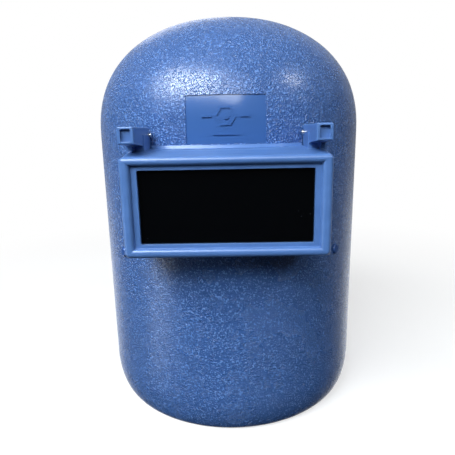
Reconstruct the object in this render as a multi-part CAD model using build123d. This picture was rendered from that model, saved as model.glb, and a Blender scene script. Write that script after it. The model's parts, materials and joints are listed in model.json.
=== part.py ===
from build123d import *
from math import asin, cos, degrees, pi, radians, sin
import os

# Lift-front welding helmet, standing upright on the rim of its shell.
# Millimetres. +Z is up, the window looks along -Y, and +X is the wearer's left.
# The origin is on the floor, on the shell's plan axis, which is also the middle of the whole length.

# ---- driving dimensions: shell ----
SHELL_R = 104.0          # plan radius of the front half, and half the width
SHELL_H = 297.2          # height of the crown above the rim
SPRING_Z = 211.6         # height where the straight wall turns into the dome
DOME_POWER = 2.265       # superellipse power of the dome's outline
WALL = 2.5
CHIN_TUCK = 10.3         # how far the wall turns in at the bottom rim
CHIN_RISE = 30.0
RIM_LAND = 2.0           # flat width of the rim that the helmet stands on
SIDE_REAR_Y = 54.0       # rear edge of the cheeks
HOOD_REAR_Y = 42.0       # rear edge of the hood at the crown
CHEEK_Y = 46.0           # rear edge low down, where the corner's arc starts
CHEEK_R = 34.0           # radius of the lower rear corners
CHEEK_TOP_Z = 150.0      # the rear edge leans back up to this height
HOOD_BREAK_Z = 228.0     # height where the rear edge starts to lean forward

# ---- driving dimensions: window and lid ----
LENS_Z = 169.6           # height of the window's centre
LID_FRONT_Y = -131.7     # front plane of the lid
WINDOW = (100.0, 42.8)   # visible glass
PLATE = (108.0, 50.8)    # standard lens plate, 2 x 4 1/4 inch
LID_HALF_X = 59.5
LID_TOP = 29.1
LID_BOTTOM = -29.0
LID_WALL = 2.0
BEAD_INSIDE = (53.5, -23.6, 24.1)  # half width, bottom and top of the step inside the bead
BEAD_OUT_R = 2.6
BEAD_IN_R = 2.3
STEP_D = 3.0             # depth of the step inside the bead
CORNER_R = 3.2           # the lid's rounded corners, seen from the front
HINGE = (34.6, 41.0)     # hinge axis: behind the lid's front plane, above the window's centre
PIN_R = 1.2
BLOCK_X = (49.4, 58.6)   # hinge block, across, at its front
BLOCK_REAR_X = 48.3      # its inner side at the rear
BARREL_R = 4.4           # round end of the block, about the pin
SLOT_X = (52.4, 56.4)    # slot in the block that the frame's ear stands in
EAR_R = 3.4
FRAME_T = 1.5            # thickness of the flange on the shell
FRAME_HALF_X = 60.3
LIP_TOP = 34.5
LIP_SLOPE = (1.2, 2.0)   # bevel along the lip's top: depth and height
BOX_OUT = (55.4, 26.6)   # half sizes of the fixed frame's box, outside
BOX_IN = (54.15, 25.6)
RUN = 0.4                # gap between lid and fixed frame
RIVET_X = 76.4
RIVET_Z = LENS_Z - 41.4
RIVET_BORE_R = 2.1
INNER_FRAME_T = 2.0      # plate clamped inside the shell
HOOK_X = (27.0, 33.0)    # the frame's hooks, across

# ---- driving dimensions: smooth panel above the window ----
PANEL_HALF_X = 24.5
PANEL_Z = (LENS_Z + 35.0, LENS_Z + 64.0)
PANEL_DEPTH = 0.6

# ---- driving dimensions: headgear ----
PIVOT_Y = 36.0
PIVOT_Z = LENS_Z + 30.0
BORE_R = 4.08            # pivot bore in the shell
SHOULDER_R = 4.0         # pivot bolt's shoulder
STUD_R = 3.0             # threaded end of the pivot bolt
STOP_R = (14.6, 17.0)    # the stop blocks' inner and outer radius about the pivot
STOP_T = 3.0             # how far the stop blocks stand in from their plate
LOCK_PEG_Y = 13.0        # peg that keeps the stop plate from turning
LOCK_PEG_R = 2.0
TILT_TRAVEL = 72.0       # degrees that the helmet lifts off the face
LUG_HALF = 7.5           # half angle of the arm's lug, which runs between the stop blocks
STOP_SPAN = 21.0         # angle that each stop block takes
ARM_X = (94.4, 97.4)     # outer end of the side arm, across
ARM_HALF_H = 9.0
ARM_END_R = 14.0
KNOB_X = (105.3, 115.0)  # tension knob, across
KNOB_R = 14.5
HEAD_PITCH = -12.0       # the band rides high at the forehead and low at the nape
BAND_HALF_X = 78.0
BAND_T = 2.0
BAND_H = 26.0
BAND_FRONT_Y = -70.0
BAND_REAR_Y = 112.0
BAND_SIDE = (-5.0, 30.0)  # the straight sides run between these
STRAP_T = 1.6
CROWN = (76.6, 80.0)     # half width and height of the crown strap
PINION_TEETH = 11
GEAR_MODULE = 1.0
PINION_R = PINION_TEETH * GEAR_MODULE / 2
NAPE_R = 109.5           # inner face of the ratchet housing
RATCHET_TRAVEL = 20.0
COVER_T = 4.2
KNOB_REAR_Y = 130.252    # rear face of the ratchet knob before the headgear is pitched
STUD_Y = 32.0            # studs that join the rear straps to the band
HOLE_PITCH = 8.0
ARM_RIVET = (-18.0, 4.0)  # the arm's rivets: y, and half their distance in height
CROWN_RIVET = (10.0, 8.0)  # the crown strap's rivets: y, and height above the pivot
SCREW_X = 22.0           # cover screws, across


# ---- helpers ----
def block(x, y, z):
    """A box between pairs of limits."""
    size = [abs(pair[1] - pair[0]) for pair in (x, y, z)]
    middle = [(pair[0] + pair[1]) / 2 for pair in (x, y, z)]
    return Pos(*middle) * Box(*size)


def prism_x(points, x0, x1):
    """A polygon of (y, z) points extruded between two x values."""
    face = make_face(Polyline(*points, close=True))
    return extrude(Plane.YZ.offset(x0) * face, x1 - x0)


def prism_y(face, y0, y1):
    """A sketch in (x, z) extruded between two y values."""
    return extrude(Plane.XZ.offset(-y1) * face, y1 - y0)


def rod_x(r, x0, x1, y, z):
    return Pos((x0 + x1) / 2, y, z) * Rot(0, 90, 0) * Cylinder(r, abs(x1 - x0))


def rod_y(r, y0, y1, x, z):
    return Pos(x, (y0 + y1) / 2, z) * Rot(90, 0, 0) * Cylinder(r, abs(y1 - y0))


def rod_z(r, z0, z1):
    return Pos(0, 0, (z0 + z1) / 2) * Cylinder(r, z1 - z0)


def deep(d):
    """y of a point d behind the lid's front plane."""
    return LID_FRONT_Y + d


def high(h):
    """z of a point h above the window's centre."""
    return LENS_Z + h


def yz(points):
    return [(deep(d), high(h)) for d, h in points]


def both(make):
    """The same piece on the +X and the -X side, as one group of solids."""
    return Compound(children=[make(1), make(-1)])


def plate_ring(half_x, half_z, hole_x, hole_z, y0, y1):
    """A flat rectangular frame round the window's centre."""
    ring = Rectangle(2 * half_x, 2 * half_z) - Rectangle(2 * hole_x, 2 * hole_z)
    return prism_y(Pos(0, LENS_Z) * ring, y0, y1)


# ---- shell ----
def dome_points(radius, height, count=8):
    """The dome's outline from the spring line to the crown, a superellipse."""
    points = []
    for i in range(count + 1):
        a = (pi / 2) * i / count
        across = max(cos(a), 0.0) ** (2 / DOME_POWER)
        up = sin(a) ** (2 / DOME_POWER)
        points.append((radius * across, SPRING_Z + height * up))
    return points


def arch_face(inset):
    """Half of the shell's front outline, inset by a wall thickness."""
    radius = SHELL_R - inset
    foot = SHELL_R - CHIN_TUCK
    dome = Spline(*dome_points(radius, SHELL_H - SPRING_Z - inset), tangents=[(0, 1), (-1, 0)])
    wall = Line((radius, CHIN_RISE), (radius, SPRING_Z))
    tuck = EllipticalCenterArc((foot, CHIN_RISE), CHIN_TUCK - inset, CHIN_RISE - inset, 270, arc_size=90)
    floor = Polyline((0, SHELL_H - inset), (0, inset), (foot, inset))
    return make_face([dome, wall, tuck, floor])


def shell_volume(inset):
    """Solid of revolution in front, straight arch behind."""
    face = arch_face(inset)
    front = Rot(0, 0, 180) * revolve(Plane.XZ * face, Axis.Z, 180)
    arch = face + mirror(face, Plane.YZ)
    rear = extrude(Plane.XZ * arch, -(SIDE_REAR_Y + 20))
    return front + rear


def rear_trim():
    """Everything behind the shell's rear edge, seen from the side."""
    corner = CHEEK_Y - CHEEK_R
    far = SIDE_REAR_Y + 60
    edge = Polyline(
        (CHEEK_Y, CHEEK_R),
        (SIDE_REAR_Y, CHEEK_TOP_Z),
        (SIDE_REAR_Y, HOOD_BREAK_Z),
        (HOOD_REAR_Y, SHELL_H + 5),
        (far, SHELL_H + 5),
        (far, -5),
        (corner, -5),
        (corner, 0),
    )
    cheek = RadiusArc((corner, 0), (CHEEK_Y, CHEEK_R), -CHEEK_R)
    face = make_face([edge, cheek])
    return extrude(Plane.YZ.offset(-SHELL_R - 5) * face, 2 * SHELL_R + 10)


def emblem_face():
    """Generic raised mark: a hexagon ring with a bar on each side, over a plain bar."""
    ring = RegularPolygon(6.5, 6) - RegularPolygon(5.2, 6)
    core = RegularPolygon(2.4, 6)
    bars = [Pos(s * 11.5, 0) * Rectangle(6.0, 1.4) for s in (-1, 1)]
    foot = Pos(0, -10.5) * Rectangle(16.0, 1.6)
    return [ring, core, foot] + bars


def panel_recess():
    """The shallow smooth panel with the generic mark left standing in it."""
    skin = shell_volume(0) - shell_volume(PANEL_DEPTH)
    window = block((-PANEL_HALF_X, PANEL_HALF_X), (-SHELL_R - 5, -SHELL_R + 25), PANEL_Z)
    recess = skin & window
    middle = (PANEL_Z[0] + PANEL_Z[1]) / 2 + 2.0
    for face in emblem_face():
        recess -= prism_y(Pos(0, middle) * face, -SHELL_R - 5, -SHELL_R + 25)
    return recess


def radial(s, part):
    """Turns a part made along +X to the lower rivet place on side s."""
    turn = degrees(asin(RIVET_X / SHELL_R)) - 90
    return Rot(0, 0, turn if s > 0 else -180 - turn) * part


def rivet_bore(s):
    return radial(s, rod_x(RIVET_BORE_R, SHELL_R - 10, SHELL_R + 5, 0, RIVET_Z))


def box_space(gap):
    """The window opening that the fixed frame's box goes through, grown by a gap."""
    x, z = BOX_OUT[0] + gap, BOX_OUT[1] + gap
    return block((-x, x), (-SHELL_R - 5, -60), (high(-z), high(z)))


def make_shell():
    land = SHELL_R - CHIN_TUCK - RIM_LAND
    shell = shell_volume(0) - shell_volume(WALL)
    shell -= rod_z(land, -1, CHIN_RISE / 2) + block((-land, land), (0, 200), (-1, CHIN_RISE / 2))
    shell -= rear_trim()
    shell -= box_space(0.6)
    shell -= panel_recess()
    for s in (1, -1):
        shell -= rod_x(BORE_R, s * 90, s * 110, PIVOT_Y, PIVOT_Z)
        shell -= rod_x(LOCK_PEG_R + 0.05, s * 90, s * 110, PIVOT_Y + LOCK_PEG_Y, PIVOT_Z)
        shell -= rivet_bore(s)
    return shell


# ---- fixed window frame ----
def tube_band(r_in, r_out, half_x, z0, z1):
    """A piece of upright tube wall in front of the plan axis, cut to a width."""
    band = rod_z(r_out, z0, z1) - rod_z(r_in, z0 - 1, z1 + 1)
    return band & block((-half_x, half_x), (-r_out - 1, 0), (z0 - 1, z1 + 1))


def frame_flange():
    """Flange lying on the shell, its lip showing above the closed lid."""
    outer = SHELL_R + FRAME_T
    flange = tube_band(SHELL_R, outer, FRAME_HALF_X, high(-29.8), high(33.0))
    flange += tube_band(SHELL_R, outer, BLOCK_REAR_X - 0.4, high(32.0), high(LIP_TOP))
    depth, rise = LIP_SLOPE
    keep = Pos(0, 0, high(LIP_TOP) - rise / 2) * Cone(outer, outer - depth, rise)
    bevel = rod_z(outer + 1, high(LIP_TOP) - rise, high(LIP_TOP)) - keep
    return flange - (bevel & block((1 - BLOCK_REAR_X, BLOCK_REAR_X - 1), (-outer - 1, 0), (0, SHELL_H)))


def frame_box():
    """Box that stands in the window opening and holds the fixed lens."""
    x, z = BOX_OUT
    hollow = block((-BOX_IN[0], BOX_IN[0]), (deep(29.5), deep(80)), (high(-BOX_IN[1]), high(BOX_IN[1])))
    view = block((-51, 51), (deep(20), deep(80)), (high(-22.4), high(22.4)))
    box = block((-x, x), (deep(26.5), deep(80)), (high(-z), high(z)))
    return (box - hollow - view) - rod_z(SHELL_R - 8, 0, SHELL_H)


def frame_ear(s):
    """Ear that rises through the lid's slot and carries the hinge pin."""
    d, h = HINGE
    x0, x1 = sorted((s * (SLOT_X[0] + 0.25), s * (SLOT_X[1] - 0.25)))
    outline = yz([(d - EAR_R, 25.0), (d - EAR_R, h), (d + EAR_R, h), (d + EAR_R, 33.0),
                  (46, 33.0), (46, 25.0)])
    ear = prism_x(outline, x0, x1) + rod_x(EAR_R, x0, x1, deep(d), high(h))
    ear -= block((x0 - 1, x1 + 1), (deep(20), deep(60)), (high(20), high(BOX_OUT[1] - 0.5)))
    ear -= rod_z(SHELL_R + 0.01, 0, SHELL_H)
    return ear - rod_x(PIN_R + 0.05, x0 - 1, x1 + 1, deep(d), high(h))


def frame_hooks():
    """Four hooks on the box that latch behind the inner frame."""
    ring = rod_z(SHELL_R - 4.8, 0, SHELL_H) - rod_z(SHELL_R - 8, -1, SHELL_H + 1)
    hooks = []
    for s in (1, -1):
        for t in (1, -1):
            z = sorted((high(t * (BOX_OUT[1] - 0.4)), high(t * 28.2)))
            x = sorted((s * HOOK_X[0], s * HOOK_X[1]))
            hooks.append(ring & block(x, (-SHELL_R, -60), z))
    return hooks


def make_window_frame():
    frame = frame_flange() - box_space(0)
    frame += frame_box()
    for s in (1, -1):
        frame += frame_ear(s)
    for hook in frame_hooks():
        frame += hook
    return frame


def make_inner_frame():
    """Curved plate inside the shell, with two arms down to the rivets."""
    outer = SHELL_R - WALL
    inner = outer - INNER_FRAME_T
    plate = tube_band(inner, outer, 66, high(-33), high(33))
    arms = tube_band(inner, outer, 81, high(-49), high(-20))
    arms -= block((-63, 63), (-120, 0), (high(-60), high(-33)))
    plate += arms
    plate -= box_space(0.4)
    for s in (1, -1):
        plate -= rivet_bore(s)
    return plate


def make_rivet(s):
    """Plastic rivet: low dome outside, shank through the wall, tail inside."""
    back = SHELL_R - WALL - INNER_FRAME_T - 2.4
    head = rod_x(3.5, SHELL_R, SHELL_R + 1.5, 0, 0)
    head = fillet(head.edges().filter_by(GeomType.CIRCLE).sort_by(Axis.X)[-1], 1.2)
    shank = rod_x(2.0, back, SHELL_R + 0.5, 0, 0)
    tail = rod_x(3.2, back, back + 1.4, 0, 0)
    return radial(s, Pos(0, 0, RIVET_Z) * (head + shank + tail))


def make_rivet_washer(s):
    outer = SHELL_R - WALL - INNER_FRAME_T - 0.1
    return radial(s, rod_x(4.5, outer - 0.9, outer, 0, RIVET_Z)) - rivet_bore(s)


# ---- lens lid ----
def lid_body():
    """Walls of the lid back to the fixed frame's curve."""
    outside = yz([(STEP_D, LID_BOTTOM), (STEP_D, LID_TOP), (18, 31.3), (46, 33.4), (46, LID_BOTTOM)])
    inside = yz([(5, -27.5), (5, 26.4), (18, 29.3), (60, 32.4), (60, -27.5)])
    body = prism_x(outside, -LID_HALF_X, LID_HALF_X)
    long_edges = [e for e in body.edges() if abs(e.center().X) > 59 and abs((e % 0.5).Y) > 0.5]
    body = fillet(long_edges, CORNER_R)
    body -= prism_x(inside, -LID_HALF_X + LID_WALL, LID_HALF_X - LID_WALL)
    return body - rod_z(SHELL_R + FRAME_T + RUN, 0, SHELL_H)


def on_step(point):
    """True on the inner edge of the bead."""
    half_x, low, top = BEAD_INSIDE
    across = abs(abs(point.X) - half_x) < 0.01
    upright = min(abs(point.Z - high(low)), abs(point.Z - high(top))) < 0.01
    return across or upright


def lid_front():
    """Front frame with the rounded bead and the stepped window."""
    z0, z1 = high(LID_BOTTOM), high(LID_TOP)
    middle = (z0 + z1) / 2
    face = Pos(0, middle) * RectangleRounded(2 * LID_HALF_X, z1 - z0, CORNER_R)
    front = prism_y(face, deep(0), deep(5))
    front = fillet([e for e in front.edges() if abs(e.center().Y - deep(0)) < 0.01], BEAD_OUT_R)
    half_x, low, top = BEAD_INSIDE
    front -= block((-half_x, half_x), (deep(-1), deep(STEP_D)), (high(low), high(top)))
    inner = [e for e in front.edges() if abs(e.center().Y - deep(0)) < 0.01 and on_step(e.center())]
    return fillet(inner, BEAD_IN_R)


def view_hole():
    """The visible window, through the lid's front."""
    return prism_y(Pos(0, LENS_Z) * RectangleRounded(*WINDOW, 0.8), deep(-1), deep(6))


def hinge_block(s):
    """Hollow-fronted block on the lid's top that carries the pin."""
    d, h = HINGE
    rear = d + BARREL_R
    x0, x1 = sorted((s * BLOCK_REAR_X, s * BLOCK_X[1]))
    part = prism_x(yz([(0, 36.0), (0, 45.3), (33, 45.7), (33, 35.0), (19.5, 34.6), (8, 35.6)]), x0, x1)
    draft = [(s * BLOCK_REAR_X, deep(d)), (s * BLOCK_X[0], deep(0)), (s * BLOCK_X[0], deep(-1)),
             (s * (BLOCK_REAR_X - 1), deep(-1)), (s * (BLOCK_REAR_X - 1), deep(d))]
    part -= extrude(make_face(Polyline(*draft, close=True)), SHELL_H)
    part = fillet([e for e in part.edges() if e.length > 25 and e.center().Z > high(45)], 0.9)
    part = fillet([e for e in part.edges() if abs(e.center().Y - deep(0)) < 0.01], 0.7)
    part += prism_x(yz([(19.5, 30.4), (19.5, h), (rear, h), (rear, 31.9)]), x0, x1)
    part += rod_x(BARREL_R, x0, x1, deep(d), high(h))
    recess = RectangleRounded(5.6, 6.9, 0.9)
    middle = s * (BLOCK_X[0] + BLOCK_X[1]) / 2
    part -= prism_y(Pos(middle, high(40.6)) * recess, deep(-1), deep(1.8))
    rib = prism_x(yz([(12, 35.0), (19.6, 34.0), (19.6, 30.6), (15.5, 30.4)]), s * 54.0, s * 54.8)
    return part + rib


def lid_pockets(s):
    """Locating blocks and hooks for the lens stack at one end."""
    x0, x1 = sorted((s * 54.3, s * (LID_HALF_X - LID_WALL + 0.2)))
    pocket = block((x0, x1), (deep(4.8), deep(14.8)), (high(-14), high(14)))
    hook_x = sorted((s * 51.8, s * 54.4))
    pocket += block(hook_x, (deep(13.6), deep(14.8)), (high(-4), high(4)))
    for z in (25.7, -27.8):
        tab_x = sorted((s * 34, s * 37))
        pocket += block(tab_x, (deep(4.8), deep(11.8)), (high(z), high(z + 2.1)))
    return pocket


def make_lid():
    d, h = HINGE
    lid = lid_front() + lid_body() - view_hole()
    for s in (1, -1):
        lid += hinge_block(s)
        lid += lid_pockets(s)
        slot_x = sorted((s * SLOT_X[0], s * SLOT_X[1]))
        lid -= block(slot_x, (deep(d - 3.8), deep(60)), (high(24), high(h + 3.7)))
        lid -= rod_x(PIN_R, s * 40, s * (BLOCK_X[1] - 0.6), deep(d), high(h))
    return lid - rod_z(SHELL_R + FRAME_T + RUN, 0, high(33.4))


def make_hinge_pin(s):
    d, h = HINGE
    pin = rod_x(PIN_R, s * (BLOCK_REAR_X - 1.6), s * (BLOCK_X[1] - 0.6), deep(d), high(h))
    return chamfer(pin.edges().filter_by(GeomType.CIRCLE), 0.25)


def make_leaf_spring(s):
    """Bowed leaf between the retainer and the lid's hooks."""
    bow, half = 1.1, 14.0
    r = (half ** 2 + bow ** 2) / (2 * bow)
    x0, x1 = sorted((s * 50.8, s * 53.8))
    y = deep(13.55) - r
    leaf = rod_x(r, x0, x1, y, LENS_Z) - rod_x(r - 0.4, x0 - 1, x1 + 1, y, LENS_Z)
    return leaf & block((x0 - 1, x1 + 1), (deep(11), deep(15)), (high(-half), high(half)))


def lens(y0, y1):
    half_x, half_z = PLATE[0] / 2, PLATE[1] / 2
    return block((-half_x, half_x), (deep(y0), deep(y1)), (high(-half_z), high(half_z)))


def lens_ring(y0, y1, land=3.6):
    half_x, half_z = PLATE[0] / 2, PLATE[1] / 2
    return plate_ring(half_x, half_z, half_x - land, half_z - land, deep(y0), deep(y1))


# ---- tilt pivots ----
def lobed_knob(r, lobes, x0, x1):
    """Round knob with scalloped grip, along +X."""
    knob = rod_x(r, x0, x1, 0, 0)
    outer = knob.edges().filter_by(GeomType.CIRCLE).sort_by(Axis.X)[-1]
    knob = fillet(outer, 2.0)
    for i in range(lobes):
        a = 2 * pi * i / lobes
        knob -= rod_x(r * 0.26, x0 + 2.5, x1 + 1, (r + 1.6) * cos(a), (r + 1.6) * sin(a))
    return knob


def at_pivot(s, part):
    """Moves a part made along +X to the pivot on side s."""
    return Pos(0, PIVOT_Y, PIVOT_Z) * (part if s > 0 else mirror(part, Plane.YZ))


def make_tension_knob(s):
    x0, x1 = KNOB_X
    knob = lobed_knob(KNOB_R, 8, x0, x1) - rod_x(6.0, x0 - 1, x1 - 4, 0, 0)
    return at_pivot(s, knob - rod_x(STUD_R + 0.05, x0 - 1, x1 - 1.5, 0, 0))


def make_knob_nut(s):
    """Metal insert in the knob."""
    x0, x1 = KNOB_X
    nut = rod_x(6.0, x0 + 0.7, x1 - 4, 0, 0)
    return at_pivot(s, nut - rod_x(STUD_R + 0.05, x0, x1, 0, 0))


def make_knob_washer(s):
    washer = rod_x(13.0, SHELL_R, SHELL_R + 1.2, 0, 0)
    return at_pivot(s, washer - rod_x(SHOULDER_R + 0.2, SHELL_R - 4, SHELL_R + 4, 0, 0))


def sector(x0, x1, start, span):
    """A wedge along X about the pivot axis; its angles run from +Y up to +Z."""
    far = 3 * STOP_R[1]
    ends = [radians(start + span * i / 3) for i in range(4)]
    return prism_x([(0, 0)] + [(far * cos(a), far * sin(a)) for a in ends], x0, x1)


def make_stop_plate(s):
    """Plate inside the shell with a peg in the wall, and two blocks that the arm's lug turns between."""
    inner, outer = STOP_R
    x0, x1 = SHELL_R - WALL - 2.5, SHELL_R - WALL - 0.1
    plate = rod_x(outer, x0, x1, 0, 0) + rod_x(LOCK_PEG_R, x1 - 0.5, x1 + 2.0, LOCK_PEG_Y, 0)
    ring = rod_x(outer, x0 - STOP_T, x0 + 0.5, 0, 0) - rod_x(inner, x0 - STOP_T - 1, x0, 0, 0)
    play = LUG_HALF + 1.5
    for start in (-play - STOP_SPAN, TILT_TRAVEL + play):
        plate += ring & sector(x0 - STOP_T - 1, x0 + 1, start, STOP_SPAN)
    return at_pivot(s, plate - rod_x(BORE_R, x0 - 5, x1 + 5, 0, 0))


def make_friction_washer(s):
    x1 = SHELL_R - WALL - 2.6
    washer = rod_x(11.0, x1 - 1.4, x1, 0, 0)
    return at_pivot(s, washer - rod_x(SHOULDER_R + 0.1, x1 - 5, x1 + 5, 0, 0))


def make_pivot_bolt(s):
    """Shouldered bolt with a flat head inside the arm and a thread for the knob."""
    x0 = ARM_X[0]
    shoulder_end = KNOB_X[0] - 0.5
    bolt = rod_x(8.0, x0 - 2.2, x0, 0, 0) + rod_x(SHOULDER_R, x0 - 0.4, shoulder_end, 0, 0)
    return at_pivot(s, bolt + rod_x(STUD_R, shoulder_end - 0.8, KNOB_X[1] - 2.5, 0, 0))


# ---- headgear, modelled level and then pitched about the pivots ----
def pitched(part):
    """Tips a level headgear part about the pivot axis."""
    return Pos(0, PIVOT_Y, PIVOT_Z) * Rot(HEAD_PITCH, 0, 0) * Pos(0, -PIVOT_Y, -PIVOT_Z) * part


def oval_face(grow, front=BAND_FRONT_Y, rear=BAND_REAR_Y):
    """Plan of the head band grown by a distance: half ellipses and straight sides."""
    x = BAND_HALF_X + grow
    y0, y1 = BAND_SIDE
    nose = EllipticalCenterArc((0, y0), x, y0 - front + grow, 180, arc_size=180)
    nape = EllipticalCenterArc((0, y1), x, rear - y1 + grow, 0, arc_size=180)
    return make_face([nose, nape, Line((x, y0), (x, y1)), Line((-x, y0), (-x, y1))])


def oval_ring(inner, outer, z0, z1):
    """Ring between two growths of the head oval, between heights about the pivot."""
    face = oval_face(outer) - oval_face(inner)
    return Pos(0, 0, PIVOT_Z + z0) * extrude(face, z1 - z0)


def make_head_band():
    """Front half of the band, with adjusting holes near its rear ends."""
    half = BAND_H / 2
    band = oval_ring(0, BAND_T, -half, half) & block((-90, 90), (-90, 46), (0, 400))
    for i in (-1, 0, 1):
        band -= rod_x(1.7, -90, 90, STUD_Y + HOLE_PITCH * i, PIVOT_Z)
    for x in (-30, 0, 30):
        band -= rod_y(2.5, -90, -40, x, PIVOT_Z)
    return pitched(band - arm_rivet_holes(1.6) - crown_rivet_hole())


def arm_rivet_holes(r):
    y, dz = ARM_RIVET
    return rod_x(r, -90, 90, y, PIVOT_Z + dz) + rod_x(r, -90, 90, y, PIVOT_Z - dz)


def make_sweatband():
    """Soft pad lining the front of the band."""
    pad = oval_ring(-6.3, -0.3, -BAND_H / 2 - 2, BAND_H / 2 + 2) & block((-90, 90), (-90, -12), (0, 400))
    return pitched(pad)


def make_side_arm(s):
    """Joggled arm from the pivot in to the side of the band, with a lug for the stop blocks."""
    inner = BAND_HALF_X + BAND_T
    x0, x1 = ARM_X
    points = [(x1, PIVOT_Y + 20), (x1, PIVOT_Y - 16), (inner + 2.6, -10), (inner + 2.6, -24),
              (inner, -24), (inner, -8), (x0, PIVOT_Y - 13), (x0, PIVOT_Y + 20)]
    face = make_face(Polyline(*[(s * x, y) for x, y in points], close=True))
    strip = Pos(0, 0, PIVOT_Z - 25) * extrude(face, 50)
    side = sorted((s * (inner - 5), s * (x1 + 5)))
    outline = rod_x(ARM_END_R, *side, PIVOT_Y, PIVOT_Z)
    outline += block(side, (-24, PIVOT_Y), (PIVOT_Z - ARM_HALF_H, PIVOT_Z + ARM_HALF_H))
    outline += Pos(0, PIVOT_Y, PIVOT_Z) * arm_lug(side)
    arm = (strip & outline) - rod_x(SHOULDER_R, *side, PIVOT_Y, PIVOT_Z)
    return pitched(arm - arm_rivet_holes(1.6))


def arm_lug(side):
    """Lug on the arm's round end; it stands level to the rear once the headgear is pitched."""
    lug = rod_x(STOP_R[1] - 0.3, *side, 0, 0)
    return lug & sector(*side, -HEAD_PITCH - LUG_HALF, 2 * LUG_HALF)


def make_arm_rivet(s, t):
    x = BAND_HALF_X - 0.2
    y, z = ARM_RIVET[0], PIVOT_Z + t * ARM_RIVET[1]
    rivet = rod_x(1.5, s * x, s * (x + 5.4), y, z)
    return pitched(rivet + rod_x(2.8, s * (x + 4.8), s * (x + 6.2), y, z))


def crown_rivet_hole():
    y, z = CROWN_RIVET
    return rod_x(1.7, -90, 90, y, PIVOT_Z + z)


def make_crown_rivet(s):
    """Rivet through the crown strap and the band."""
    x0, x1 = CROWN[0] - 3.4, BAND_HALF_X + BAND_T
    y, z = CROWN_RIVET[0], PIVOT_Z + CROWN_RIVET[1]
    rivet = rod_x(1.6, s * (x0 - 0.4), s * (x1 + 0.4), y, z)
    for start in (x0 - 1.6, x1):
        rivet += rod_x(3.0, s * start, s * (start + 1.2), y, z)
    return pitched(rivet)


def make_crown_strap(s):
    """One half of the strap over the head: the +X half lies on top of the -X half."""
    lift = 0.9 if s > 0 else -0.9
    outer = Ellipse(CROWN[0] + lift, CROWN[1] + lift)
    inner = Ellipse(CROWN[0] + lift - STRAP_T, CROWN[1] + lift - STRAP_T)
    strap = prism_y(Pos(0, PIVOT_Z) * (outer - inner), 0, 20)
    end = -28 if s > 0 else 28
    strap &= block(sorted((s * 90, end)), (-5, 25), (PIVOT_Z + BAND_H / 2 - 10, 400))
    for x in (-21, -14, -7, 7, 14, 21) if s > 0 else (7,):
        strap -= Pos(x, 10, PIVOT_Z + CROWN[1]) * Cylinder(2.0, 16)
    return strap - crown_rivet_hole()


def make_crown_straps():
    """Both strap halves, each tucked inside the band at its lower end."""
    return {side: pitched(make_crown_strap(s)) for side, s in (("left", 1), ("right", -1))}


def make_crown_peg():
    peg = Cylinder(1.9, 6.0) + Pos(0, 0, 2.4) * Cylinder(3.2, 1.4) + Pos(0, 0, -3.2) * Cylinder(3.2, 1.4)
    return pitched(Pos(7, 10, PIVOT_Z + CROWN[1] - 0.8) * peg)


def rack_strap(s):
    """Rear strap: +X half carries the upper rack, -X half the lower rack."""
    half = BAND_H / 2 - 1
    strap = oval_ring(BAND_T + 0.1, BAND_T + 0.1 + STRAP_T, -half, half)
    overlap = RATCHET_TRAVEL + 6
    strap &= block(sorted((s * 90, -s * overlap)), (22, 140), (0, 400))
    keep = (PIVOT_Z + PINION_R, PIVOT_Z + half) if s > 0 else (PIVOT_Z - half, PIVOT_Z - PINION_R)
    narrow = block(sorted((s * 34, -s * 60)), (60, 140), (0, 400))
    strap = (strap - narrow) + (strap & narrow & block((-90, 90), (60, 140), keep))
    shift = GEAR_MODULE * pi / 2 if s < 0 else 0.0
    for i in range(-7, 8):
        x = i * GEAR_MODULE * pi + shift
        root = sorted((PIVOT_Z + s * PINION_R, PIVOT_Z + s * (PINION_R + 1.2)))
        strap -= block((x - 1.0, x + 1.0), (100, 130), root)
    return strap - rod_x(1.7, -90, 90, STUD_Y, PIVOT_Z)


def make_strap_stud(s):
    """Stud through the band and the rear strap."""
    x = BAND_HALF_X
    stud = rod_x(1.6, s * (x - 0.6), s * (x + 4.4), STUD_Y, PIVOT_Z)
    for start in (x - 1.8, x + 3.9):
        stud += rod_x(3.0, s * start, s * (start + 1.3), STUD_Y, PIVOT_Z)
    return pitched(stud)


# ---- ratchet ----
def pinion_tooth(angle):
    tip = Pos(PINION_R - 0.2, 0) * Rectangle(2.2, 0.9)
    return Rot(0, 0, angle) * tip


def ratchet_centre():
    """y of the straps' middle at the nape."""
    return BAND_REAR_Y + BAND_T + 0.1 + STRAP_T / 2


def make_pinion():
    """Toothed wheel on a square-ended shaft, axis along Y."""
    y = ratchet_centre()
    face = Circle(PINION_R - 0.9)
    for i in range(PINION_TEETH):
        face += pinion_tooth(90 + 360 * i / PINION_TEETH)
    wheel = prism_y(Pos(0, PIVOT_Z) * face, y - 1.6, y + 1.6)
    shaft = rod_y(2.0, y - 3.2, y + 12.0, 0, PIVOT_Z)
    return pitched(wheel + shaft)


def ratchet_shell(y0, y1):
    """Blank of the housing: rounded lozenge across the nape."""
    face = Pos(0, PIVOT_Z) * RectangleRounded(64, 34, 12)
    return prism_y(face, y0, y1)


def make_ratchet_housing():
    """Inner half: cradles straps and pinion."""
    y = ratchet_centre()
    part = ratchet_shell(y - 12, y) - rod_z(NAPE_R, 0, 400)
    part -= strap_channel()
    part -= rod_y(PINION_R + 1.4, y - 2.0, y + 3, 0, PIVOT_Z)
    part -= rod_y(2.05, y - 3.4, y + 3, 0, PIVOT_Z)
    for s in (1, -1):
        part -= rod_y(1.25, y - 6, y + 3, s * SCREW_X, PIVOT_Z)
    return part


def strap_channel():
    """Space that both straps pass through."""
    half = BAND_H / 2 - 0.6
    return oval_ring(BAND_T - 0.2, BAND_T + STRAP_T + 0.4, -half, half)


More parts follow.
